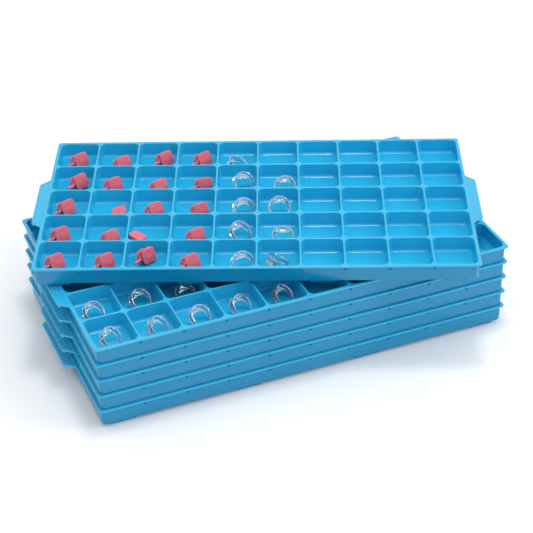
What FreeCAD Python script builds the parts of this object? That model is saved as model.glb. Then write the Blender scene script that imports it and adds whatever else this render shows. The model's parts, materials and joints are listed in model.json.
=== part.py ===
"""A pile of stackable fifty-cell parts trays, with the small mouldings that lie in their cells.

Millimetres, +Z up. The origin is on the surface that the pile stands on, under the middle of the
top tray, which is the middle of the whole pile. +X runs along the long side of the square pile and
+Y to its back.

Five trays stand square on each other: the feet of each drop into the cells of the tray below, and
its underside rests on that tray's rim. The sixth is laid on top, turned, and stands on its feet.
"""

import FreeCAD, Part
import math
import os
import Sketcher

doc = FreeCAD.newDocument("StackingTrays")
sheet = doc.addObject("Spreadsheet::Sheet", "Sizes")

# every size of one tray, of its cells, lugs and feet, and of the pile
SIZES = {
    "ColumnPitch": 45.0,  # along the long side
    "RowPitch": 51.3,
    "Columns": 10,
    "Rows": 5,
    "WallHeight": 18.8,  # rim to underside, which is also the step of the square pile
    "FloorThick": 2.4,
    "DividerThick": 2.2,  # at the rim
    "CellCorner": 4.5,
    "CellDraft": 1.6,  # degrees
    "WallStep": 0.1,  # from the edge of the grid to the foot of the outer wall
    "WallDraft": 1.0,  # degrees
    "BodyCorner": 5.0,
    "LipStep": 2.6,  # from the edge of the grid to the outside of the rim
    "LipThick": 2.0,
    "LipCorner": 4.0,
    "LugReach": 13.2,  # from the edge of the grid
    "LugInner": 100.0,  # width where the lug leaves the rim
    "LugOuter": 76.0,  # width at the lug's outer edge
    "LugThick": 2.2,
    "CurlInset": 1.2,  # from the lug's outer edge to the small lip under it
    "CurlThick": 2.0,
    "CurlDepth": 4.2,  # below the rim
    "RidgeStep": 2.4,  # between the grip grooves
    "RidgeWidth": 1.0,
    "RidgeDepth": 0.6,
    "FootHeight": 4.1,
    "FootLength": 27.0,
    "FootWidth": 6.0,
    "FootInset": 3.4,  # from the edge of the grid to the foot's outer face
    "FootSpacing": 135.0,  # three columns
    "TopYaw": -22.85,  # degrees that the top tray is turned
    "PileX": -7.6,  # the middle of the square pile
    "PileY": -28.8,
    # a pink plug: two plates side by side on a short web, and a round stem
    "PlateLength": 15.0,
    "PlateHeight": 16.0,
    "PlateThick": 4.5,
    "PlateCorner": 3.0,
    "FlangeLength": 14.0,
    "FlangeHeight": 12.0,
    "FlangeThick": 3.0,
    "PlugGap": 2.6,
    "WebLength": 7.0,
    "WebHeight": 7.0,
    "WebCorner": 2.0,
    "StemRadius": 1.6,
    "StemReach": 17.0,  # from the middle of the web
    # a clear ring: a band that narrows from its broad head to a thin shank
    "RingRadius": 11.8,
    "RingWall": 1.5,
    "HeadWidth": 9.0,
    "ShankWidth": 2.6,
    "RestGap": 0.35,  # a loose piece above the floor of its cell
}

TRAYS = 6  # the last one is turned
GRIP_GROOVES = 4  # along each lug

# Each loose piece: column, row (1 at the back), steps from the middle of its cell to the right and
# to the back, then the degrees that it is turned about Z and leans.
PINK_PLUGS = [
    (1, 1, -1.0, 0.0, -45, 24),
    (2, 1, 2.5, -8.0, -52, 30),
    (3, 1, 5.5, 1.0, -42, 24),
    (4, 1, 3.5, -1.0, -45, 26),
    (1, 2, 4.0, 3.0, -38, 24),
    (2, 2, -3.5, -3.0, -48, 24),
    (3, 2, 2.0, -9.0, -50, 32),
    (4, 2, 5.0, -5.0, -66, 20),
    (1, 3, -5.0, 0.5, -43, 24),
    (2, 3, 4.5, -9.5, -80, 64),
    (3, 3, 0.0, -6.5, -47, 28),
    (4, 3, 3.0, -7.0, -58, 26),
    (1, 4, -6.0, -2.0, -47, 24),
    (2, 4, 2.0, -9.0, -54, 30),
    (3, 4, -8.8, -8.8, 62, 40),
    (4, 4, 1.5, -7.0, -50, 28),
    (1, 5, -5.5, -2.5, -45, 26),
    (2, 5, 0.5, -2.5, -44, 24),
    (3, 5, -2.0, 6.0, -36, 16),
    (4, 5, -2.0, -5.5, -47, 28),
]
TOP_RINGS = [
    (5, 1, -1.0, -7.5, 170, 24),
    (5, 2, 7.0, -2.0, 118, 46),
    (5, 3, 7.5, -5.0, 118, 44),
    (5, 4, 4.5, 2.0, 138, 34),
    (5, 5, 8.0, -7.0, 118, 44),
    (6, 2, 7.5, -11.0, 96, 46),
    (6, 3, 1.0, -2.5, 105, 46),
    (6, 4, 5.0, -11.0, 88, 46),
    (6, 5, -1.0, 0.0, 210, 20),
]
LOWER_RINGS = [
    (1, 5, -1.0, -3.0, 128, 38),
    (2, 5, 2.5, -5.0, 132, 38),
    (3, 5, 2.0, -3.5, 118, 38),
    (4, 5, 1.0, -3.0, 122, 38),
    (5, 5, 1.5, -4.0, 126, 38),
    (1, 4, -3.5, -6.0, 125, 38),
    (2, 4, 1.5, -4.0, 120, 38),
    (3, 4, 2.5, -9.0, 112, 24),
    (1, 2, -4.0, -2.0, 125, 38),
]


def fill_sheet():
    """Writes each size into a cell of its own and gives that cell its name."""
    for row, (name, value) in enumerate(SIZES.items(), start=1):
        sheet.set(f"A{row}", name)
        sheet.set(f"B{row}", str(value))
        sheet.setAlias(f"B{row}", name)
    doc.recompute()


fill_sheet()


# ---------------------------------------------------------------- sketches and features


def evaluate(expression):
    """The number that an expression on the sheet gives now."""
    return float(sheet.evalExpression(str(expression)))


def new_sketch(body, name, height="0", role="XY_Plane"):
    """A sketch on one of the body's own planes, lifted off it by an expression."""
    sketch = body.newObject("Sketcher::SketchObject", name)
    plane = next(f for f in body.Origin.OriginFeatures if f.Role == role)
    sketch.AttachmentSupport = [(plane, "")]
    sketch.MapMode = "FlatFace"
    sketch.setExpression("AttachmentOffset.Base.z", str(height))
    return sketch


def bind(sketch, kind, *where_and_expression):
    """Adds one dimension to a sketch and ties it to the sheet."""
    *where, expression = where_and_expression
    index = sketch.addConstraint(Sketcher.Constraint(kind, *where, evaluate(expression)))
    sketch.setExpression(f"Constraints[{index}]", str(expression))


def add_polygon(sketch, corners):
    """A closed outline through corners, each a pair of expressions on the sheet."""
    points = [FreeCAD.Vector(evaluate(x), evaluate(y), 0) for x, y in corners]
    first = len(sketch.Geometry)
    count = len(points)
    sides = [Part.LineSegment(points[k], points[(k + 1) % count]) for k in range(count)]
    sketch.addGeometry(sides, False)
    for k in range(count):
        after = first + (k + 1) % count
        sketch.addConstraint(Sketcher.Constraint("Coincident", first + k, 2, after, 1))
    for k, (x, y) in enumerate(corners):
        bind(sketch, "DistanceX", -1, 1, first + k, 1, x)
        bind(sketch, "DistanceY", -1, 1, first + k, 1, y)


def add_rectangle(sketch, left, right, front, back):
    add_polygon(sketch, [(left, front), (right, front), (right, back), (left, back)])


def add_rounded_rectangle(sketch, length, width, corner, x_mid="0", y_mid="0"):
    """A rounded rectangle about (x_mid, y_mid); every argument is an expression."""
    half_x, half_y, r = evaluate(length) / 2, evaluate(width) / 2, evaluate(corner)
    cx, cy = evaluate(x_mid), evaluate(y_mid)
    at = FreeCAD.Vector
    sides = [
        Part.LineSegment(at(cx - half_x + r, cy - half_y), at(cx + half_x - r, cy - half_y)),
        Part.LineSegment(at(cx + half_x, cy - half_y + r), at(cx + half_x, cy + half_y - r)),
        Part.LineSegment(at(cx + half_x - r, cy + half_y), at(cx - half_x + r, cy + half_y)),
        Part.LineSegment(at(cx - half_x, cy + half_y - r), at(cx - half_x, cy - half_y + r)),
    ]
    arcs = []
    for k, (sx, sy) in enumerate([(1, -1), (1, 1), (-1, 1), (-1, -1)]):
        middle = at(cx + sx * (half_x - r), cy + sy * (half_y - r))
        start = math.radians(90 * k - 90)
        arcs.append(Part.ArcOfCircle(Part.Circle(middle, at(0, 0, 1), r), start, start + math.pi / 2))
    first = len(sketch.Geometry)
    sketch.addGeometry(sides + arcs, False)
    add = sketch.addConstraint
    for k in range(4):
        add(Sketcher.Constraint("Tangent", first + k, 2, first + 4 + k, 1))
        add(Sketcher.Constraint("Tangent", first + 4 + k, 2, first + (k + 1) % 4, 1))
    for k in (1, 2, 3):
        add(Sketcher.Constraint("Equal", first + 4, first + 4 + k))
    for k in (0, 2):
        add(Sketcher.Constraint("Horizontal", first + k))
        add(Sketcher.Constraint("Vertical", first + k + 1))
    bind(sketch, "Radius", first + 4, corner)
    bind(sketch, "DistanceX", first + 3, 1, first + 1, 1, length)
    bind(sketch, "DistanceY", first, 1, first + 2, 1, width)
    bind(sketch, "DistanceX", -1, 1, first + 1, 1, f"{x_mid} + {length} / 2")
    bind(sketch, "DistanceY", -1, 1, first + 2, 1, f"{y_mid} + {width} / 2")


def add_circle(sketch, x, y, radius):
    """A circle about (x, y); every argument is an expression."""
    middle = FreeCAD.Vector(evaluate(x), evaluate(y), 0)
    index = sketch.addGeometry(Part.Circle(middle, FreeCAD.Vector(0, 0, 1), evaluate(radius)), False)
    bind(sketch, "Radius", index, radius)
    bind(sketch, "DistanceX", -1, 1, index, 3, x)
    bind(sketch, "DistanceY", -1, 1, index, 3, y)


def extrude(body, kind, sketch, length, taper="0", reverse=False):
    """A pad or a pocket of the sketch, with its length and draft on the sheet."""
    feature = body.newObject(f"PartDesign::{kind}", f"{sketch.Name}_{kind}")
    feature.Profile = sketch
    feature.setExpression("Length", str(length))
    feature.setExpression("TaperAngle", str(taper))
    feature.Reversed = reverse
    return feature


def repeat(body, feature, name, along_x=None, along_y=None):
    """Repeats a feature in a row or a grid; along_x and along_y are (length, count)."""
    pattern = body.newObject("PartDesign::LinearPattern", name)
    pattern.Originals = [feature]
    axes = {f.Role: f for f in body.Origin.OriginFeatures}
    pattern.Direction = (axes["X_Axis"], [""])
    pattern.setExpression("Length", along_x[0])
    pattern.setExpression("Occurrences", along_x[1])
    if along_y:
        pattern.Direction2 = (axes["Y_Axis"], [""])
        pattern.setExpression("Length2", along_y[0])
        pattern.setExpression("Occurrences2", along_y[1])
    body.Tip = pattern
    return pattern


# ---------------------------------------------------------------- one tray

HALF_LENGTH = "Sizes.Columns * Sizes.ColumnPitch / 2"
HALF_WIDTH = "Sizes.Rows * Sizes.RowPitch / 2"
RIM = "(Sizes.FootHeight + Sizes.WallHeight)"


def add_shell(body, tag):
    """The drafted block that the cells are sunk into, and the rim round its top."""
    outline = new_sketch(body, f"Outline{tag}", "Sizes.FootHeight")
    length = f"2 * ({HALF_LENGTH} + Sizes.WallStep)"
    width = f"2 * ({HALF_WIDTH} + Sizes.WallStep)"
    add_rounded_rectangle(outline, length, width, "Sizes.BodyCorner")
    extrude(body, "Pad", outline, "Sizes.WallHeight", "Sizes.WallDraft")
    rim = new_sketch(body, f"Rim{tag}", f"{RIM} - Sizes.LipThick")
    length = f"2 * ({HALF_LENGTH} + Sizes.LipStep)"
    width = f"2 * ({HALF_WIDTH} + Sizes.LipStep)"
    add_rounded_rectangle(rim, length, width, "Sizes.LipCorner")
    extrude(body, "Pad", rim, "Sizes.LipThick")


def add_lugs(body, tag):
    """At each end a finger lug: a plate with grip grooves, and a small lip under its outer edge."""
    plates = new_sketch(body, f"LugPlates{tag}", f"{RIM} - Sizes.LugThick")
    curls = new_sketch(body, f"LugCurls{tag}", f"{RIM} - Sizes.CurlDepth")
    grooves = new_sketch(body, f"LugGrooves{tag}", f"{RIM} - Sizes.RidgeDepth")
    inner, outer = "Sizes.LugInner / 2", "Sizes.LugOuter / 2"
    for sign in ("-1", "1"):
        root = f"{sign} * {HALF_LENGTH}"
        tip = f"{sign} * ({HALF_LENGTH} + Sizes.LugReach)"
        add_polygon(plates, [(root, f"-{inner}"), (tip, f"-{outer}"), (tip, outer), (root, inner)])
        curl_out = f"{HALF_LENGTH} + Sizes.LugReach - Sizes.CurlInset"
        curl_in = f"{curl_out} - Sizes.CurlThick"
        add_rectangle(curls, f"{sign} * ({curl_in})", f"{sign} * ({curl_out})", f"-{outer}", outer)
        for k in range(GRIP_GROOVES):
            near = f"({HALF_LENGTH} + Sizes.LipStep + Sizes.RidgeWidth + {k} * Sizes.RidgeStep)"
            far = f"({near} + Sizes.RidgeWidth)"
            add_rectangle(grooves, f"{sign} * {near}", f"{sign} * {far}", f"-{inner}", inner)
    extrude(body, "Pad", plates, "Sizes.LugThick")
    extrude(body, "Pad", curls, "Sizes.CurlDepth")
    extrude(body, "Pocket", grooves, "Sizes.RidgeDepth", reverse=True)


def add_cells(body, tag):
    """The grid of drafted, round-cornered cells."""
    cell = new_sketch(body, f"Cell{tag}", RIM)
    length = "(Sizes.ColumnPitch - Sizes.DividerThick)"
    width = "(Sizes.RowPitch - Sizes.DividerThick)"
    x_mid = f"(Sizes.ColumnPitch / 2 - {HALF_LENGTH})"
    y_mid = f"(Sizes.RowPitch / 2 - {HALF_WIDTH})"
    add_rounded_rectangle(cell, length, width, "Sizes.CellCorner", x_mid, y_mid)
    pocket = extrude(body, "Pocket", cell, "Sizes.WallHeight - Sizes.FloorThick", "-Sizes.CellDraft")
    along_x = ("Sizes.ColumnPitch * (Sizes.Columns - 1)", "Sizes.Columns")
    along_y = ("Sizes.RowPitch * (Sizes.Rows - 1)", "Sizes.Rows")
    repeat(body, pocket, f"Cells{tag}", along_x, along_y)


def add_feet(body, tag):
    """Low bars under the front and back rows, which drop into the cells of a tray below."""
    feet = new_sketch(body, f"Feet{tag}", "Sizes.FootHeight")
    left = "(-1.5 * Sizes.FootSpacing - Sizes.FootLength / 2)"
    right = f"{left} + Sizes.FootLength"
    near = f"({HALF_WIDTH} - Sizes.FootInset)"
    far = f"({HALF_WIDTH} - Sizes.FootInset - Sizes.FootWidth)"
    add_rectangle(feet, left, right, f"-1 * {near}", f"-1 * {far}")
    add_rectangle(feet, left, right, far, near)
    foot = extrude(body, "Pad", feet, "Sizes.FootHeight", reverse=True)
    repeat(body, foot, f"FeetRow{tag}", ("3 * Sizes.FootSpacing", "4"))


def make_tray(number):
    """One tray, standing with its feet on z = 0 of its own frame."""
    body = doc.addObject("PartDesign::Body", f"Tray{number}")
    body.Label = f"tray_{number}"
    tag = f"_{number}"
    add_shell(body, tag)
    add_lugs(body, tag)
    add_cells(body, tag)
    add_feet(body, tag)
    return body


# ---------------------------------------------------------------- the loose pieces


def make_plug(name):
    """Two plates across X with a web between them, and a stem that leaves the web along -Y."""
    body = doc.addObject("PartDesign::Body", name)
    body.Label = name
    plate = new_sketch(body, f"{name}_plate", "Sizes.PlugGap / 2", "YZ_Plane")
    add_rounded_rectangle(plate, "Sizes.PlateLength", "Sizes.PlateHeight", "Sizes.PlateCorner")
    extrude(body, "Pad", plate, "Sizes.PlateThick")
    web = new_sketch(body, f"{name}_web", "Sizes.PlugGap / 2", "YZ_Plane")
    add_rounded_rectangle(web, "Sizes.WebLength", "Sizes.WebHeight", "Sizes.WebCorner")
    extrude(body, "Pad", web, "Sizes.PlugGap", reverse=True)
    flange = new_sketch(body, f"{name}_flange", "-Sizes.PlugGap / 2", "YZ_Plane")
    add_rounded_rectangle(flange, "Sizes.FlangeLength", "Sizes.FlangeHeight", "Sizes.PlateCorner")
    extrude(body, "Pad", flange, "Sizes.FlangeThick", reverse=True)
    stem = new_sketch(body, f"{name}_stem", role="XZ_Plane")
    add_circle(stem, "0", "0", "Sizes.StemRadius")
    extrude(body, "Pad", stem, "Sizes.StemReach")
    return body


def make_ring(name):
    """A band round Z, its broad head towards +X and its shank towards -X."""
    body = doc.addObject("PartDesign::Body", name)
    body.Label = name
    band = new_sketch(body, f"{name}_band", "-Sizes.HeadWidth / 2")
    add_circle(band, "0", "0", "Sizes.RingRadius")
    add_circle(band, "0", "0", "Sizes.RingRadius - Sizes.RingWall")
    extrude(body, "Pad", band, "Sizes.HeadWidth")
    sides = new_sketch(body, f"{name}_sides", role="XZ_Plane")
    shank = "-1 * (Sizes.RingRadius + Sizes.RingWall)"
    head = "(Sizes.RingRadius - Sizes.RingWall / 2)"
    for sign in ("-1", "1"):
        thin, broad = f"{sign} * Sizes.ShankWidth / 2", f"{sign} * Sizes.HeadWidth / 2"
        beyond = f"{sign} * Sizes.HeadWidth"
        add_polygon(sides, [(shank, thin), (head, broad), (head, beyond), (shank, beyond)])
    pocket = extrude(body, "Pocket", sides, "2 * (Sizes.RingRadius + Sizes.RingWall)")
    pocket.Midplane = True
    return body


def tray_frame(number):
    """Where a tray stands: square in the pile, or turned and on its feet on top of it."""
    if number < TRAYS:
        height = evaluate(f"{number - 1} * Sizes.WallHeight")
        base = FreeCAD.Vector(evaluate("Sizes.PileX"), evaluate("Sizes.PileY"), height)
        return FreeCAD.Placement(base, FreeCAD.Rotation())
    height = evaluate(f"{TRAYS - 1} * Sizes.WallHeight + Sizes.FootHeight")
    turn = FreeCAD.Rotation(FreeCAD.Vector(0, 0, 1), evaluate("Sizes.TopYaw"))
    return FreeCAD.Placement(FreeCAD.Vector(0, 0, height), turn)


def lay_down(body, tray, column, row, across, back, turned, leaning):
    """Lays a loose piece, turned and leaning, just clear of the floor of one cell of a tray."""
    turn = FreeCAD.Rotation(FreeCAD.Vector(0, 0, 1), turned)
    tilt = turn.multiply(FreeCAD.Rotation(FreeCAD.Vector(0, 1, 0), -leaning))
    posed = body.Shape.copy()
    posed.Placement = FreeCAD.Placement(FreeCAD.Vector(), tilt)
    box = posed.optimalBoundingBox(False)
    floor = evaluate("Sizes.FootHeight + Sizes.FloorThick + Sizes.RestGap")
    x = evaluate(f"({column} - 0.5) * Sizes.ColumnPitch - {HALF_LENGTH}") + across
    y = evaluate(f"{HALF_WIDTH} - ({row} - 0.5) * Sizes.RowPitch") + back
    middle = FreeCAD.Vector((box.XMin + box.XMax) / 2, (box.YMin + box.YMax) / 2, box.ZMin)
    local = FreeCAD.Placement(FreeCAD.Vector(x, y, floor) - middle, tilt)
    body.Placement = tray_frame(tray).multiply(local)


# ---------------------------------------------------------------- the pile


def check_and_write(pieces):
    """Stops on any failed object or bad shape, then writes one STEP file for each piece."""
    for item in doc.Objects:
        if {"Invalid", "Error"} & set(item.State):
            raise RuntimeError(f"{item.Name} failed: {item.State}")
    os.makedirs("parts", exist_ok=True)
    for piece in pieces:
        shape = piece.Shape
        if shape.isNull() or not shape.isValid() or len(shape.Solids) != 1:
            raise RuntimeError(f"{piece.Label} is not one sound solid")
        shape.exportStep(f"parts/{piece.Label}.step")
    print(len(pieces), "pieces written")


trays = [make_tray(number) for number in range(1, TRAYS + 1)]
plugs = [make_plug(f"pink_plug_c{column}_r{row}") for column, row, *_ in PINK_PLUGS]
top_rings = [make_ring(f"clear_ring_t{TRAYS}_c{column}_r{row}") for column, row, *_ in TOP_RINGS]
lower_rings = [make_ring(f"clear_ring_t{TRAYS - 1}_c{column}_r{row}")
               for column, row, *_ in LOWER_RINGS]
doc.recompute()
for number, tray in enumerate(trays, start=1):
    tray.Placement = tray_frame(number)
for plug, place in zip(plugs, PINK_PLUGS):
    lay_down(plug, TRAYS, *place)
for ring, place in zip(top_rings, TOP_RINGS):
    lay_down(ring, TRAYS, *place)
for ring, place in zip(lower_rings, LOWER_RINGS):
    lay_down(ring, TRAYS - 1, *place)
doc.recompute()
check_and_write(trays + plugs + top_rings + lower_rings)
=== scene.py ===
import json
import math

import bmesh
import bpy
from mathutils import Matrix, Vector


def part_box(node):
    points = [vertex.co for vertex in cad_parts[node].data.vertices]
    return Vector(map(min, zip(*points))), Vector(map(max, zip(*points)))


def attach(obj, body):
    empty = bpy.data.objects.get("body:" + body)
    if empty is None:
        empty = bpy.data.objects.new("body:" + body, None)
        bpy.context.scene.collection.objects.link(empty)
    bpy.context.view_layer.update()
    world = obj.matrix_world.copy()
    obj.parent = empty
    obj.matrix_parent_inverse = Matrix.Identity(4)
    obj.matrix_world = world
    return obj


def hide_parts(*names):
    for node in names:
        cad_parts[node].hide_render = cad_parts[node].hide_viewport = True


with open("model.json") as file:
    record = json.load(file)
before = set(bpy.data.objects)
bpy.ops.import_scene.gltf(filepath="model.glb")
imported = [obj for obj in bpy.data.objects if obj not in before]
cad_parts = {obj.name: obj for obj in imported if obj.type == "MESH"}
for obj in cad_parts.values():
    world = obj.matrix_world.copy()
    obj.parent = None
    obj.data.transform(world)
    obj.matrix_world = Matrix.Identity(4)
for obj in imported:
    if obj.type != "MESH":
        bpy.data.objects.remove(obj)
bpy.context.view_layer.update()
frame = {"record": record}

MM = 0.001

# ---------------------------------------------------------------- sizes of a tray, in metres
# A tray's own frame has its feet on z = 0 and its middle on x = y = 0.

COLUMNS, ROWS = 10, 5
PITCH_X, PITCH_Y = 45.0 * MM, 51.3 * MM
HALF_X, HALF_Y = COLUMNS * PITCH_X / 2, ROWS * PITCH_Y / 2
FOOT_HEIGHT = 4.1 * MM
WALL_HEIGHT = 18.8 * MM
RIM = FOOT_HEIGHT + WALL_HEIGHT
CELL_DEPTH = 16.4 * MM
DIVIDER_HALF = 1.1 * MM
CELL_CORNER = 6.2 * MM
FLOOR_FILLET = 3.4 * MM
DRAFT = math.tan(math.radians(1.6))
REACH = CELL_CORNER + DIVIDER_HALF  # of a cell's round corner, from the middles of its dividers
LUG_REACH = 13.2 * MM
LUG_INNER, LUG_OUTER = 50.0 * MM, 38.0 * MM  # half widths
FOOT_LENGTH, FOOT_WIDTH = 27.0 * MM, 6.0 * MM
FOOT_INSET, FOOT_SPACING = 3.4 * MM, 135.0 * MM
ARC_STEPS = 6  # segments in a cell's round corner

TRAYS = 6
TOP_YAW = math.radians(-22.85)

# colours, as linear red, green and blue
BLUE_RANGE = (0.014, 0.425, 0.71), (0.022, 0.465, 0.75)
# painted shade: a darker copy of the tray blue for the outer walls, standing in for the shade on them
SHADED_WALL_BLUE_RANGE = (0.005, 0.238, 0.46), (0.008, 0.266, 0.50)
# painted highlight: the blue of the rim tops, standing in for the light that catches them
RIM_HIGHLIGHT_BLUE = (0.025, 0.42, 0.69)
PINK_RANGE = (0.66, 0.10, 0.14), (0.80, 0.17, 0.22)
CLEAR_TINT = (0.62, 0.77, 0.85)
FLOOR_GREY = (0.93, 0.93, 0.93)
WHITE = (1.0, 1.0, 1.0)


def new_object(name, vertices, faces, material):
    """A mesh object in the scene's own collection."""
    mesh = bpy.data.meshes.new(name)
    mesh.from_pydata(vertices, [], faces)
    mesh.validate()
    piece = bpy.data.objects.new(name, mesh)
    bpy.context.scene.collection.objects.link(piece)
    mesh.materials.append(material)
    return piece


# ---------------------------------------------------------------- materials


def node_material(name):
    """A new node material, its tree and its Principled shader."""
    material = bpy.data.materials.new(name)
    material.use_nodes = True
    tree = material.node_tree
    return material, tree, tree.nodes["Principled BSDF"]


def noise(tree, scale, detail=4.0, roughness=0.6):
    """Noise on the object's own coordinates."""
    place = tree.nodes.new("ShaderNodeTexCoord")
    texture = tree.nodes.new("ShaderNodeTexNoise")
    texture.inputs["Scale"].default_value = scale
    texture.inputs["Detail"].default_value = detail
    texture.inputs["Roughness"].default_value = roughness
    tree.links.new(place.outputs["Object"], texture.inputs["Vector"])
    return texture


def ramp(tree, source, low, high, start=0.3, end=0.7):
    """Two colours that follow a factor."""
    colours = tree.nodes.new("ShaderNodeValToRGB")
    colours.color_ramp.elements[0].position = start
    colours.color_ramp.elements[0].color = (*low, 1)
    colours.color_ramp.elements[1].position = end
    colours.color_ramp.elements[1].color = (*high, 1)
    tree.links.new(source, colours.inputs["Fac"])
    return colours


def bump(tree, shader, source, strength, distance, before=None):
    """Fine relief from a factor; distance is its height in metres."""
    relief = tree.nodes.new("ShaderNodeBump")
    relief.inputs["Strength"].default_value = strength
    relief.inputs["Distance"].default_value = distance
    tree.links.new(source, relief.inputs["Height"])
    if before:
        tree.links.new(before.outputs["Normal"], relief.inputs["Normal"])
    tree.links.new(relief.outputs["Normal"], shader.inputs["Normal"])
    return relief


def tray_plastic(name, low, high):
    """Blue moulded polypropylene: satin, faintly clouded and grained, with a painted highlight in
    another blue over the top millimetre of its rims.
    """
    material, tree, shader = node_material(name)
    clouds = noise(tree, 9.0)
    body = ramp(tree, clouds.outputs["Fac"], low, high)
    place = tree.nodes.new("ShaderNodeTexCoord")
    split = tree.nodes.new("ShaderNodeSeparateXYZ")
    tree.links.new(place.outputs["Object"], split.inputs["Vector"])
    height = tree.nodes.new("ShaderNodeMapRange")  # rises to 1 over the top millimetre of the rims
    height.inputs["From Min"].default_value = RIM - 1.0 * MM
    height.inputs["From Max"].default_value = RIM - 0.3 * MM
    tree.links.new(split.outputs["Z"], height.inputs["Value"])
    # painted highlight: the rim tops are mixed toward their own blue by height
    rim_highlight = tree.nodes.new("ShaderNodeMix")
    rim_highlight.data_type = "RGBA"
    rim_highlight.inputs["B"].default_value = (*RIM_HIGHLIGHT_BLUE, 1)
    tree.links.new(height.outputs["Result"], rim_highlight.inputs["Factor"])
    tree.links.new(body.outputs["Color"], rim_highlight.inputs["A"])
    tree.links.new(rim_highlight.outputs["Result"], shader.inputs["Base Color"])
    grain = noise(tree, 1500.0, 2.0)
    wear = noise(tree, 140.0, 6.0, 0.7)
    gloss = tree.nodes.new("ShaderNodeMapRange")
    gloss.inputs["To Min"].default_value = 0.14
    gloss.inputs["To Max"].default_value = 0.24
    tree.links.new(wear.outputs["Fac"], gloss.inputs["Value"])
    tree.links.new(gloss.outputs["Result"], shader.inputs["Roughness"])
    first = bump(tree, shader, wear.outputs["Fac"], 0.05, 0.0002)
    bump(tree, shader, grain.outputs["Fac"], 0.05, 0.00005, first)
    return material


def pink_plastic():
    """Soft pink moulded plastic with a grainy skin."""
    material, tree, shader = node_material("pink_plastic")
    clouds = noise(tree, 260.0, 5.0)
    colours = ramp(tree, clouds.outputs["Fac"], *PINK_RANGE)
    tree.links.new(colours.outputs["Color"], shader.inputs["Base Color"])
    grain = noise(tree, 2200.0, 3.0)
    bump(tree, shader, grain.outputs["Fac"], 0.25, 0.0002)
    shader.inputs["Roughness"].default_value = 0.42
    shader.inputs["Subsurface Weight"].default_value = 0.15
    shader.inputs["Subsurface Radius"].default_value = (0.004, 0.001, 0.001)
    shader.inputs["Subsurface Scale"].default_value = 0.5
    return material


def clear_plastic():
    """Polished clear plastic, a little wavy where it was moulded."""
    material, tree, shader = node_material("clear_plastic")
    flow = noise(tree, 160.0, 2.0)
    bump(tree, shader, flow.outputs["Fac"], 0.35, 0.001)
    shader.inputs["Base Color"].default_value = (*CLEAR_TINT, 1)
    shader.inputs["Transmission Weight"].default_value = 0.95
    shader.inputs["Roughness"].default_value = 0.02
    shader.inputs["IOR"].default_value = 1.62
    shader.inputs["Coat Weight"].default_value = 1.0
    shader.inputs["Coat IOR"].default_value = 1.9
    shader.inputs["Coat Roughness"].default_value = 0.04
    return material


def stage_material():
    """A plain matt pale floor."""
    material, tree, shader = node_material("pale_floor")
    shader.inputs["Base Color"].default_value = (*FLOOR_GREY, 1)
    shader.inputs["Roughness"].default_value = 0.9
    return material


BLUE = tray_plastic("tray_plastic", *BLUE_RANGE)
# painted shade: the outer walls' darker copy of the tray plastic
SHADED_WALL_BLUE = tray_plastic("tray_painted_shade_walls", *SHADED_WALL_BLUE_RANGE)
PINK, CLEAR = pink_plastic(), clear_plastic()


# ---------------------------------------------------------------- one tray


def round_loop(half_x, half_y, radius):
    """Points of a rounded rectangle about the origin, anticlockwise from its right side."""
    points = []
    for quarter, (sx, sy) in enumerate(((1, 1), (-1, 1), (-1, -1), (1, -1))):
        for step in range(ARC_STEPS + 1):
            angle = math.radians(90 * (quarter + step / ARC_STEPS))
            x = sx * (half_x - radius) + radius * math.cos(angle)
            y = sy * (half_y - radius) + radius * math.sin(angle)
            points.append((x, y))
    return points


def square_loop(half_x, half_y, reach):
    """The same points as round_loop, pushed out to the sides of a plain rectangle."""
    points = []
    for quarter, (sx, sy) in enumerate(((1, 1), (-1, 1), (-1, -1), (1, -1))):
        for step in range(ARC_STEPS + 1):
            angle = math.radians(90 * (quarter + step / ARC_STEPS))
            c, s = math.cos(angle), math.sin(angle)
            widest = max(abs(c), abs(s))
            x = sx * (half_x - reach) + reach * c / widest
            y = sy * (half_y - reach) + reach * s / widest
            points.append((x, y))
    return points


def cell_profile():
    """Steps from a divider's middle into the cell: (inset, height above the tray's feet)."""
    edge = 0.8 * MM
    steps = [(DIVIDER_HALF - edge, RIM)]
    for k in (1, 2, 3):
        angle = math.radians(30 * k)
        steps.append((DIVIDER_HALF - edge + edge * math.sin(angle), RIM - edge + edge * math.cos(angle)))
    wall_foot = CELL_DEPTH - FLOOR_FILLET
    inset = DIVIDER_HALF + DRAFT * wall_foot
    steps.append((inset, RIM - wall_foot))
    for k in (1, 2, 3, 4):
        angle = math.radians(22.5 * k)
        height = RIM - wall_foot - FLOOR_FILLET * math.sin(angle)
        steps.append((inset + FLOOR_FILLET * (1 - math.cos(angle)), height))
    return steps


def add_cells(vertices, faces):
    """The grid of cells, from the middle lines of the dividers down to the floors."""
    half_x, half_y = PITCH_X / 2, PITCH_Y / 2
    loops = [[(x, y, RIM) for x, y in square_loop(half_x, half_y, REACH)]]
    for inset, height in cell_profile():
        radius = max(REACH - inset, 1.2 * MM)
        loops.append([(x, y, height) for x, y in round_loop(half_x - inset, half_y - inset, radius)])
    around = len(loops[0])
    for column in range(COLUMNS):
        for row in range(ROWS):
            x_mid, y_mid = (column + 0.5) * PITCH_X - HALF_X, HALF_Y - (row + 0.5) * PITCH_Y
            first = len(vertices)
            for loop in loops:
                vertices.extend((x + x_mid, y + y_mid, z) for x, y, z in loop)
            for k in range(len(loops) - 1):
                a, b = first + k * around, first + (k + 1) * around
                for j in range(around):
                    after = (j + 1) % around
                    faces.append((a + j, a + after, b + after, b + j))
            last = first + (len(loops) - 1) * around
            faces.append(tuple(range(last, last + around)))


# the small notches in the long walls
PIP_HALF, PIP_EDGE = 1.2 * MM, 1.5 * MM
PIP_TOP, PIP_FOOT, PIP_DEEP = 3.2 * MM, 5.8 * MM, 1.6 * MM


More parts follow.
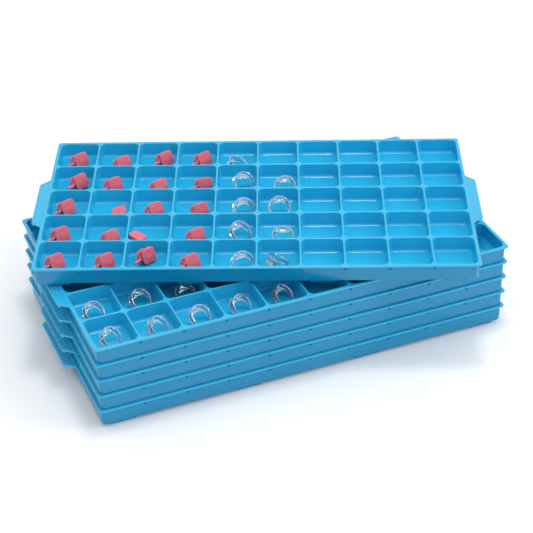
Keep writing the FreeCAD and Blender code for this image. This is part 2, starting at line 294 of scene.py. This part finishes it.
def rim_points():
    """The points of the cells' own outline round the whole grid, anticlockwise."""
    local = square_loop(PITCH_X / 2, PITCH_Y / 2, REACH)
    close = 1e-7
    bottom = sorted({round(x, 7) for x, y in local if abs(y + PITCH_Y / 2) < close})
    side = sorted({round(y, 7) for x, y in local if abs(x - PITCH_X / 2) < close})
    xs = [(c + 0.5) * PITCH_X - HALF_X + x for c in range(COLUMNS) for x in bottom[:-1]]
    dividers = [c * PITCH_X - HALF_X for c in range(1, COLUMNS)]
    steps = (-PIP_EDGE, -PIP_HALF, PIP_HALF, PIP_EDGE)
    xs = sorted(xs + [x + step for x in dividers for step in steps])
    ys = [(r + 0.5) * PITCH_Y - HALF_Y + y for r in range(ROWS) for y in side[:-1]]
    front = [(x, -HALF_Y) for x in xs]
    right = [(HALF_X, y) for y in ys]
    back = [(-x, HALF_Y) for x in xs]
    left = [(-HALF_X, -y) for y in ys]
    return front + right + back + left


def stepped_out(point, step, corner):
    """A point of the grid's outline moved out by step, onto an outline with round corners."""
    x, y = point
    sx, sy = math.copysign(1, x), math.copysign(1, y)
    past_x, past_y = abs(x) - (HALF_X - REACH), abs(y) - (HALF_Y - REACH)
    if past_x > -1e-6 and past_y > -1e-6:
        angle = math.atan2(past_y, past_x)
        x_mid, y_mid = HALF_X + step - corner, HALF_Y + step - corner
        return sx * (x_mid + corner * math.cos(angle)), sy * (y_mid + corner * math.sin(angle))
    if abs(abs(y) - HALF_Y) < 1e-6:
        return x, sy * (HALF_Y + step)
    return sx * (HALF_X + step), y


# outside of a tray from its rim to its underside, in mm: step out from the grid, depth below the
# rim, radius of the corners
OUTSIDE = [
    (1.7, 0.0, 3.1), (2.2, 0.08, 3.6), (2.5, 0.35, 3.9), (2.6, 0.7, 4.0),
    (2.6, 1.5, 4.0), (2.5, 1.85, 3.9), (2.2, 2.0, 3.6), (0.7, 2.05, 5.0),
    (0.43, 2.3, 5.2), (0.42, 3.0, 5.2), (0.41, 3.4, 5.2), (0.38, 5.6, 5.2),
    (0.37, 6.0, 5.2), (0.12, 17.7, 5.0), (-0.1, 18.4, 4.8), (-0.7, 18.8, 4.2),
]


def in_pip(point, depth):
    """True where a small moulded notch sits in a long wall, under each divider."""
    x, y = point
    over = (x + HALF_X + PITCH_X / 2) % PITCH_X - PITCH_X / 2
    inner = abs(x) < HALF_X - PITCH_X / 2 and abs(abs(y) - HALF_Y) < 1e-6
    return inner and abs(over) < PIP_HALF + 0.1 * MM and PIP_TOP < depth < PIP_FOOT


def add_outside(vertices, faces):
    """The rim's lip, the drafted outer walls with their notches, and the underside."""
    outline = rim_points()
    around = len(outline)
    first = len(vertices)
    vertices.extend((x, y, RIM) for x, y in outline)
    for step, depth, corner in OUTSIDE:
        for point in outline:
            x, y = stepped_out(point, step * MM, corner * MM)
            if in_pip(point, depth * MM):
                y -= math.copysign(PIP_DEEP, y)
            vertices.append((x, y, RIM - depth * MM))
    for k in range(len(OUTSIDE)):
        a, b = first + k * around, first + (k + 1) * around
        faces.extend((a + j, b + j, b + (j + 1) % around, a + (j + 1) % around) for j in range(around))
    last = first + len(OUTSIDE) * around
    faces.append(tuple(range(last + around - 1, last - 1, -1)))


def lug_profile():
    """Section of a lug across X, in mm: ribbed top, then the small lip that curls under its edge."""
    top = [(1.2, -0.3), (2.8, -0.3)]
    first, pitch, high, ridges, steps = 3.3, 2.1, 0.42, 4, 6
    for k in range(ridges * steps + 1):
        lift = high * 0.5 * (1 - math.cos(2 * math.pi * k / steps))
        top.append((first + pitch * k / steps, -0.62 + lift))
    curl = [(12.3, -0.45), (12.8, -0.6), (13.1, -0.95), (13.2, -1.5)]
    curl += [(13.0, -2.4), (12.3, -3.8), (11.9, -4.2)]
    under = [(10.6, -4.2), (10.2, -3.9), (9.9, -2.9), (9.4, -2.5), (2.2, -2.4), (1.2, -3.0)]
    return top + curl + under


def add_lugs(vertices, faces):
    """A ribbed finger lug at each end, whose ends slant in from the rim to the tip."""
    section = lug_profile()
    bevel = 0.4 * MM
    for side in (-1, 1):
        rings = []
        for sign, inset, low in ((-1, 0.0, 1), (-1, bevel, 0), (1, bevel, 0), (1, 0.0, 1)):
            ring = []
            for x, z in section:
                half = LUG_INNER - (LUG_INNER - LUG_OUTER) * (x * MM / LUG_REACH)
                drop = 0.25 * MM * low if z > -2.0 else 0.0
                ring.append(len(vertices))
                vertices.append((side * (HALF_X + x * MM), sign * (half - inset), RIM + z * MM - drop))
            rings.append(ring)
        count = len(section)
        turn = 1 if side > 0 else -1
        for near, far in zip(rings, rings[1:]):
            for j in range(count):
                face = (near[j], far[j], far[(j + 1) % count], near[(j + 1) % count])
                faces.append(face[::turn])
        faces.append(tuple(rings[0][::turn]))
        faces.append(tuple(rings[-1][::-turn]))


def add_feet(vertices, faces):
    """Eight low bars with rounded ends under the front and back rows."""
    corner, edge = 1.4 * MM, 0.4 * MM
    half_x, half_y = FOOT_LENGTH / 2, FOOT_WIDTH / 2
    y_mid = HALF_Y - FOOT_INSET - half_y
    levels = [(0.0, FOOT_HEIGHT + 0.3 * MM), (0.0, edge), (edge, 0.0)]
    for column in range(4):
        x_mid = (column - 1.5) * FOOT_SPACING
        for side in (-1, 1):
            first = len(vertices)
            for inset, height in levels:
                loop = round_loop(half_x - inset, half_y - inset, corner - inset)
                vertices.extend((x + x_mid, y + side * y_mid, height) for x, y in loop)
            around = len(loop)
            for k in range(len(levels) - 1):
                a, b = first + k * around, first + (k + 1) * around
                for j in range(around):
                    after = (j + 1) % around
                    faces.append((a + j, b + j, b + after, a + after))
            last = first + (len(levels) - 1) * around
            faces.append(tuple(range(last + around - 1, last - 1, -1)))


def finish_mesh(piece, sharp_angle):
    """Merges coincident points, sets smooth shading with crisp edges, and flattens broad faces."""
    shape = bmesh.new()
    shape.from_mesh(piece.data)
    bmesh.ops.remove_doubles(shape, verts=shape.verts, dist=1e-6)
    bmesh.ops.recalc_face_normals(shape, faces=shape.faces)
    for edge in shape.edges:
        edge.smooth = len(edge.link_faces) != 2 or edge.calc_face_angle(0) < sharp_angle
    for face in shape.faces:
        face.smooth = True
    shape.to_mesh(piece.data)
    shape.free()
    weighted = piece.modifiers.new("flat_faces", "WEIGHTED_NORMAL")
    weighted.keep_sharp = True


def make_tray(name):
    """One moulded tray in its own frame, with painted shade on its outer walls."""
    vertices, faces = [], []
    add_cells(vertices, faces)
    add_outside(vertices, faces)
    add_lugs(vertices, faces)
    add_feet(vertices, faces)
    piece = new_object(name, vertices, faces, BLUE)
    piece.data.materials.append(SHADED_WALL_BLUE)
    finish_mesh(piece, math.radians(40))
    # painted shade: outward-facing wall faces below the lip take the darker second material
    for face in piece.data.polygons:
        x, y, z = face.center
        faces_x = abs(x) > HALF_X - REACH and face.normal.x * math.copysign(1, x) > 0.3
        faces_y = abs(y) > HALF_Y - REACH and face.normal.y * math.copysign(1, y) > 0.3
        if z < RIM - 1.9 * MM and (faces_x or faces_y):
            face.material_index = 1
    return piece


def lay_trays():
    """Six trays of one shape, each where its CAD node stands; the top one is turned."""
    square = make_tray("moulded_tray_1")
    turned = square.copy()
    turned.data = square.data.copy()
    turned.data.transform(Matrix.Rotation(TOP_YAW, 4, "Z"))
    for number in range(1, TRAYS + 1):
        piece = square
        if number > 1:
            piece = (turned if number == TRAYS else square).copy()
            piece.name = f"moulded_tray_{number}"
            bpy.context.scene.collection.objects.link(piece)
        low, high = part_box(f"tray_{number}")
        piece.location = ((low.x + high.x) / 2, (low.y + high.y) / 2, low.z)
        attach(piece, f"tray_{number}")
        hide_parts(f"tray_{number}")
    bpy.data.objects.remove(turned)


lay_trays()


# ---------------------------------------------------------------- the loose pieces

# how each piece lies: node, degrees turned about Z in its tray, degrees leaning
PLUG_POSES = {
    "c1_r1": (-45, 24), "c2_r1": (-52, 30), "c3_r1": (-42, 24), "c4_r1": (-45, 26),
    "c1_r2": (-38, 24), "c2_r2": (-48, 24), "c3_r2": (-50, 32), "c4_r2": (-66, 20),
    "c1_r3": (-43, 24), "c2_r3": (-80, 84), "c3_r3": (-47, 28), "c4_r3": (-58, 26),
    "c1_r4": (-47, 24), "c2_r4": (-54, 30), "c3_r4": (60, 76), "c4_r4": (-50, 28),
    "c1_r5": (-45, 26), "c2_r5": (-44, 24), "c3_r5": (-36, 16), "c4_r5": (-47, 28),
}
RING_POSES = {
    "t6_c5_r1": (170, 24), "t6_c5_r2": (118, 46), "t6_c5_r3": (118, 44), "t6_c5_r4": (138, 34),
    "t6_c5_r5": (118, 44), "t6_c6_r2": (96, 46), "t6_c6_r3": (105, 46), "t6_c6_r4": (88, 46),
    "t6_c6_r5": (210, 20), "t5_c1_r5": (128, 38), "t5_c2_r5": (132, 38), "t5_c3_r5": (118, 38),
    "t5_c4_r5": (122, 38), "t5_c5_r5": (126, 38), "t5_c1_r4": (125, 38), "t5_c2_r4": (120, 38),
    "t5_c3_r4": (112, 24), "t5_c1_r2": (125, 38),
}


def body_holding(node):
    """The CAD body that a node belongs to."""
    bodies = frame["record"]["behaviour"]["bodies"]
    return next(name for name, nodes in bodies.items() if node in nodes)


def lay(piece, node, turned, leaning, yaw):
    """Turns a piece as it lies and stands it where its CAD node is."""
    tilt = Matrix.Rotation(math.radians(-leaning), 4, "Y")
    turn = Matrix.Rotation(yaw + math.radians(turned), 4, "Z") @ tilt
    corners = [turn @ v.co for v in piece.data.vertices]
    low = Vector(min(c[k] for c in corners) for k in range(3))
    high = Vector(max(c[k] for c in corners) for k in range(3))
    cad_low, cad_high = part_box(node)
    middle = (cad_low + cad_high) / 2
    shift = Vector((middle.x - (low.x + high.x) / 2, middle.y - (low.y + high.y) / 2, cad_low.z - low.z))
    piece.data.transform(turn)
    piece.location = shift
    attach(piece, body_holding(node))
    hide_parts(node)


def plate_layers(shape, layers):
    """Stacks outlines across X, joins each to the next, and returns their rings of vertices.

    Each layer is (x, tilt, y middle, half width, half height, corner), in mm: its x grows by
    tilt * y.
    """
    rings = []
    for x, tilt, y_mid, half_y, half_z, corner in layers:
        loop = round_loop(half_y * MM, half_z * MM, corner * MM)
        rings.append([shape.verts.new((x * MM + tilt * y, y + y_mid * MM, z)) for y, z in loop])
    for near, far in zip(rings, rings[1:]):
        for j in range(len(near)):
            after = (j + 1) % len(near)
            shape.faces.new((near[j], near[after], far[after], far[j]))
    return rings


def make_plug(name):
    """A wedge-shaped main plate, a web, a looped flange behind them, and a round stem."""
    shape = bmesh.new()
    wedge, edge = 0.24, 0.7
    main = [
        (1.3 + edge * 0.3, 0.0, 0.4, 6.8, 7.3, 2.6),
        (1.3 + edge, 0.0, 0.4, 7.4, 7.9, 3.1),
        (5.6 - edge, wedge, 0.4, 7.5, 8.0, 3.2),
        (5.6 - edge * 0.25, wedge, 0.4, 7.25, 7.75, 3.0),
        (5.6, wedge, 0.4, 6.7, 7.2, 2.5),
    ]
    rings = plate_layers(shape, main)
    shape.faces.new(rings[0][::-1])
    shape.faces.new(rings[-1])
    web = [(-2.0, 0.0, -0.4, 3.2, 3.4, 1.6), (2.2, 0.0, -0.4, 3.2, 3.4, 1.6)]
    rings = plate_layers(shape, web)
    shape.faces.new(rings[0][::-1])
    shape.faces.new(rings[-1])
    loop = [
        (-1.3, 0.0, -4.6, 1.5, 2.7, 1.2),
        (-1.3, 0.0, -1.4, 6.9, 6.3, 4.4),
        (-1.7, 0.0, -1.4, 7.5, 6.9, 4.9),
        (-3.8, 0.0, -1.4, 7.5, 6.9, 4.9),
        (-4.3, 0.0, -1.4, 6.9, 6.3, 4.4),
        (-4.3, 0.0, -4.6, 2.1, 3.4, 1.8),
        (-3.9, 0.0, -4.6, 1.6, 2.8, 1.3),
    ]
    rings = plate_layers(shape, loop)
    first, last = rings[0], rings[-1]
    for j in range(len(first)):
        after = (j + 1) % len(first)
        shape.faces.new((last[j], last[after], first[after], first[j]))
    stem = bmesh.ops.create_cone(shape, cap_ends=True, segments=20, radius1=1.75 * MM, radius2=1.3 * MM,
                                 depth=16.5 * MM)["verts"]
    bmesh.ops.rotate(shape, verts=stem, matrix=Matrix.Rotation(math.radians(90), 3, "X"))
    bmesh.ops.translate(shape, verts=stem, vec=(0, -8.75 * MM, -1.0 * MM))
    mesh = bpy.data.meshes.new(name)
    shape.to_mesh(mesh)
    shape.free()
    mesh.materials.append(PINK)
    piece = bpy.data.objects.new(name, mesh)
    bpy.context.scene.collection.objects.link(piece)
    finish_mesh(piece, math.radians(50))
    return piece


def ring_section(half_width, wall, flare):
    """Section of the band, as (depth in from the outside, height): raised rims, and a flared inside."""
    rim, dip, edge = min(1.1 * MM, half_width * 0.45), wall * 0.42, 0.25 * MM
    side = [(edge, half_width), (0, half_width - edge)]
    side += [(0, half_width - rim), (dip, half_width - rim - edge)]
    outside = side + [(depth, -height) for depth, height in reversed(side)]
    lower = [(wall + flare - edge, -half_width), (wall + flare, edge - half_width)]
    upper = [(wall, half_width - edge), (wall - edge, half_width)]
    return outside + lower + upper


def make_ring(name):
    """A clear band with raised rims, broad and thick at its head and thin at its shank."""
    around = 96
    radius, thin, thick = 11.8 * MM, 1.5 * MM, 2.3 * MM
    narrow, broad = 1.3 * MM, 4.5 * MM
    vertices, faces = [], []
    for k in range(around):
        angle = 2 * math.pi * k / around
        head = 0.5 + 0.5 * math.cos(angle)
        wall, flare = thin + (thick - thin) * head ** 4, 4.0 * MM * head ** 3
        section = ring_section(narrow + (broad - narrow) * head, wall, flare)
        across = len(section)
        for depth, height in section:
            r = radius - depth
            vertices.append((r * math.cos(angle), r * math.sin(angle), height))
    for k in range(around):
        for j in range(across):
            a, b = k * across, ((k + 1) % around) * across
            faces.append((a + j, a + (j + 1) % across, b + (j + 1) % across, b + j))
    piece = new_object(name, vertices, faces, CLEAR)
    finish_mesh(piece, math.radians(35))
    return piece


for place, (turned, leaning) in PLUG_POSES.items():
    plug = make_plug(f"plug_{place}")
    lay(plug, f"pink_plug_{place}", turned, leaning, TOP_YAW)

for place, (turned, leaning) in RING_POSES.items():
    ring = make_ring(f"ring_{place}")
    lay(ring, f"clear_ring_{place}", turned, leaning, TOP_YAW if place.startswith("t6") else 0.0)


# ---------------------------------------------------------------- stage, light and camera


def make_floor():
    """A broad pale floor under the feet."""
    reach = 12.0
    corners = [(-reach, -reach, 0), (reach, -reach, 0), (reach, reach, 0), (-reach, reach, 0)]
    floor = new_object("floor", corners, [(0, 1, 2, 3)], stage_material())


def area_light(name, place, aim, size, power):
    """A soft square light at place, turned to face aim."""
    light = bpy.data.lights.new(name, "AREA")
    light.shape = "SQUARE"
    light.size = size
    light.energy = power
    lamp = bpy.data.objects.new(name, light)
    lamp.location = place
    lamp.rotation_euler = (Vector(aim) - Vector(place)).to_track_quat("-Z", "Y").to_euler()
    bpy.context.scene.collection.objects.link(lamp)


def make_lights():
    """A pale surround, brighter overhead and to the right, with a small top light and a key."""
    world = bpy.data.worlds.new("surround")
    world.use_nodes = True
    tree = world.node_tree
    place = tree.nodes.new("ShaderNodeTexCoord")
    lobe = tree.nodes.new("ShaderNodeVectorMath")
    lobe.operation = "DOT_PRODUCT"
    lobe.inputs[1].default_value = (0.36, -0.10, 0.92)
    tree.links.new(place.outputs["Generated"], lobe.inputs[0])
    strength = tree.nodes.new("ShaderNodeMapRange")
    strength.inputs["From Min"].default_value = 0.0
    strength.inputs["From Max"].default_value = 1.0
    strength.inputs["To Min"].default_value = 0.66
    strength.inputs["To Max"].default_value = 1.16
    tree.links.new(lobe.outputs["Value"], strength.inputs["Value"])
    tree.links.new(strength.outputs["Result"], tree.nodes["Background"].inputs["Strength"])
    tree.nodes["Background"].inputs["Color"].default_value = (*WHITE, 1)
    bpy.context.scene.world = world
    middle = (0, 0, 0.1)
    area_light("key", (1.7, -1.0, 1.3), middle, 0.8, 8)
    area_light("top", (0.1, 0.0, 2.2), middle, 0.35, 11)


def make_camera():
    """The camera, at the angle the object is seen from."""
    azimuth, elevation, roll = math.radians(22.09), math.radians(33.65), math.radians(-1.056)
    aim, distance = Vector((-0.045, -0.134, 0.129)), 1.62
    ahead = Vector((math.sin(azimuth) * math.cos(elevation), math.cos(azimuth) * math.cos(elevation),
                    -math.sin(elevation)))
    camera = bpy.data.objects.new("camera", bpy.data.cameras.new("camera"))
    turn = ahead.to_track_quat("-Z", "Y").to_matrix().to_4x4() @ Matrix.Rotation(roll, 4, "Z")
    camera.matrix_world = Matrix.Translation(aim - ahead * distance) @ turn
    camera.data.lens = 109.6
    camera.data.sensor_width = 36.0
    camera.data.clip_end = 50.0
    bpy.context.scene.collection.objects.link(camera)
    bpy.context.scene.camera = camera


make_floor()
make_lights()
make_camera()
bpy.context.scene.view_settings.view_transform = "Standard"

bpy.context.view_layer.update()
